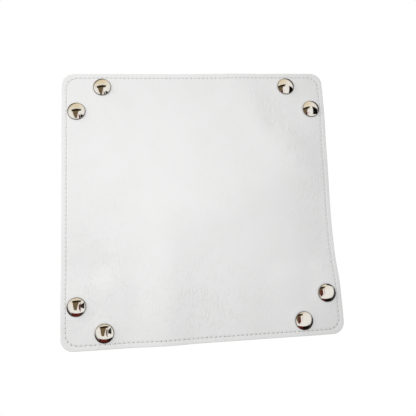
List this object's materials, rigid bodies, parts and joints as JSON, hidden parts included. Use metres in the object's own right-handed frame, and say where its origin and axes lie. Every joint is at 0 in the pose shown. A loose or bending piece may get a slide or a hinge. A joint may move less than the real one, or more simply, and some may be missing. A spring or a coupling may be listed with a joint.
{
  "type": "folding dice tray",
  "caption": "Flat square leather sheet with a soft lining whose corners pinch together with domed press snaps, raising its four edges into a shallow tray for rolling dice.",
  "frame": {"origin": "centre of the sheet in plan, at the level of the lowest points of the domed caps, with the tray lying flat", "axes": "+Z out of the tray's dice side, so the walls fold up towards +Z; +X and +Y along the sheet's sides, with the socket flaps on the X walls"},
  "size_m": [0.23, 0.23, 0.0088],
  "materials": {
    "white_leather": "fine grained, semi-matt",
    "lining_suede": "short napped microsuede",
    "cap_chrome": "polished",
    "post_steel": "plain plated",
    "snap_nickel": "nickel plated",
    "spring_wire": "drawn wire"
  },
  "bodies": {
    "base": {"base_skin": "white_leather", "base_lining": "lining_suede"},
    "front_wall": {"front_wall_skin": "white_leather", "front_wall_lining": "lining_suede"},
    "right_wall": {"right_wall_skin": "white_leather", "right_wall_lining": "lining_suede"},
    "back_wall": {"back_wall_skin": "white_leather", "back_wall_lining": "lining_suede"},
    "left_wall": {"left_wall_skin": "white_leather", "left_wall_lining": "lining_suede"},
    "front_left_socket_flap": {"front_left_socket_flap_skin": "white_leather", "front_left_socket_flap_lining": "lining_suede", "front_left_socket_cap": "cap_chrome", "front_left_socket_post": "post_steel", "front_left_socket": "snap_nickel", "front_left_socket_spring": "spring_wire"},
    "front_left_stud_flap": {"front_left_stud_flap_skin": "white_leather", "front_left_stud_flap_lining": "lining_suede", "front_left_stud_cap": "cap_chrome", "front_left_stud_post": "post_steel", "front_left_stud": "snap_nickel"},
    "front_right_socket_flap": {"front_right_socket_flap_skin": "white_leather", "front_right_socket_flap_lining": "lining_suede", "front_right_socket_cap": "cap_chrome", "front_right_socket_post": "post_steel", "front_right_socket": "snap_nickel", "front_right_socket_spring": "spring_wire"},
    "front_right_stud_flap": {"front_right_stud_flap_skin": "white_leather", "front_right_stud_flap_lining": "lining_suede", "front_right_stud_cap": "cap_chrome", "front_right_stud_post": "post_steel", "front_right_stud": "snap_nickel"},
    "back_right_socket_flap": {"back_right_socket_flap_skin": "white_leather", "back_right_socket_flap_lining": "lining_suede", "back_right_socket_cap": "cap_chrome", "back_right_socket_post": "post_steel", "back_right_socket": "snap_nickel", "back_right_socket_spring": "spring_wire"},
    "back_right_stud_flap": {"back_right_stud_flap_skin": "white_leather", "back_right_stud_flap_lining": "lining_suede", "back_right_stud_cap": "cap_chrome", "back_right_stud_post": "post_steel", "back_right_stud": "snap_nickel"},
    "back_left_socket_flap": {"back_left_socket_flap_skin": "white_leather", "back_left_socket_flap_lining": "lining_suede", "back_left_socket_cap": "cap_chrome", "back_left_socket_post": "post_steel", "back_left_socket": "snap_nickel", "back_left_socket_spring": "spring_wire"},
    "back_left_stud_flap": {"back_left_stud_flap_skin": "white_leather", "back_left_stud_flap_lining": "lining_suede", "back_left_stud_cap": "cap_chrome", "back_left_stud_post": "post_steel", "back_left_stud": "snap_nickel"}
  },
  "joints": [
    {"name": "front_wall_fold", "type": "hinge", "parent": "base", "child": "front_wall", "pos_m": [0, -0.073, 0.0056], "axis": [-1, 0, 0], "range_deg": [0, 89.75], "stiffness_Nm_per_rad": 0.3},
    {"name": "right_wall_fold", "type": "hinge", "parent": "base", "child": "right_wall", "pos_m": [0.073, 0, 0.0056], "axis": [0, -1, 0], "range_deg": [0, 89.75], "stiffness_Nm_per_rad": 0.3},
    {"name": "back_wall_fold", "type": "hinge", "parent": "base", "child": "back_wall", "pos_m": [0, 0.073, 0.0056], "axis": [1, 0, 0], "range_deg": [0, 89.75], "stiffness_Nm_per_rad": 0.3},
    {"name": "left_wall_fold", "type": "hinge", "parent": "base", "child": "left_wall", "pos_m": [-0.073, 0, 0.0056], "axis": [0, 1, 0], "range_deg": [0, 89.75], "stiffness_Nm_per_rad": 0.3},
    {"name": "front_left_ear_turn", "type": "hinge", "parent": "left_wall", "child": "front_left_socket_flap", "pos_m": [-0.093, -0.06925, 0.0032], "axis": [1, 0, 0], "range_deg": [0, 44.88]},
    {"name": "front_left_ear_crease", "type": "hinge", "parent": "front_left_socket_flap", "child": "front_left_stud_flap", "pos_m": [-0.093, -0.093, 0.00755], "axis": [-0.7071, -0.7071, 0], "range_deg": [0, 179.5], "deforming": ["front_left_socket_spring"]},
    {"name": "front_right_ear_turn", "type": "hinge", "parent": "right_wall", "child": "front_right_socket_flap", "pos_m": [0.093, -0.06925, 0.0032], "axis": [1, 0, 0], "range_deg": [0, 44.88]},
    {"name": "front_right_ear_crease", "type": "hinge", "parent": "front_right_socket_flap", "child": "front_right_stud_flap", "pos_m": [0.093, -0.093, 0.00755], "axis": [-0.7071, 0.7071, 0], "range_deg": [0, 179.5], "deforming": ["front_right_socket_spring"]},
    {"name": "back_right_ear_turn", "type": "hinge", "parent": "right_wall", "child": "back_right_socket_flap", "pos_m": [0.093, 0.06925, 0.0032], "axis": [-1, 0, 0], "range_deg": [0, 44.88]},
    {"name": "back_right_ear_crease", "type": "hinge", "parent": "back_right_socket_flap", "child": "back_right_stud_flap", "pos_m": [0.093, 0.093, 0.00755], "axis": [0.7071, 0.7071, 0], "range_deg": [0, 179.5], "deforming": ["back_right_socket_spring"]},
    {"name": "back_left_ear_turn", "type": "hinge", "parent": "left_wall", "child": "back_left_socket_flap", "pos_m": [-0.093, 0.06925, 0.0032], "axis": [-1, 0, 0], "range_deg": [0, 44.88]},
    {"name": "back_left_ear_crease", "type": "hinge", "parent": "back_left_socket_flap", "child": "back_left_stud_flap", "pos_m": [-0.093, 0.093, 0.00755], "axis": [0.7071, -0.7071, 0], "range_deg": [0, 179.5], "deforming": ["back_left_socket_spring"]}
  ],
  "couplings": [
    {"joint": "front_wall_fold", "follows": "right_wall_fold", "ratio": 1},
    {"joint": "back_wall_fold", "follows": "right_wall_fold", "ratio": 1},
    {"joint": "left_wall_fold", "follows": "right_wall_fold", "ratio": 1},
    {"joint": "front_left_ear_turn", "follows": "right_wall_fold", "ratio": 0.5},
    {"joint": "front_left_ear_crease", "follows": "right_wall_fold", "ratio": 2},
    {"joint": "front_right_ear_turn", "follows": "right_wall_fold", "ratio": 0.5},
    {"joint": "front_right_ear_crease", "follows": "right_wall_fold", "ratio": 2},
    {"joint": "back_right_ear_turn", "follows": "right_wall_fold", "ratio": 0.5},
    {"joint": "back_right_ear_crease", "follows": "right_wall_fold", "ratio": 2},
    {"joint": "back_left_ear_turn", "follows": "right_wall_fold", "ratio": 0.5},
    {"joint": "back_left_ear_crease", "follows": "right_wall_fold", "ratio": 2}
  ]
}
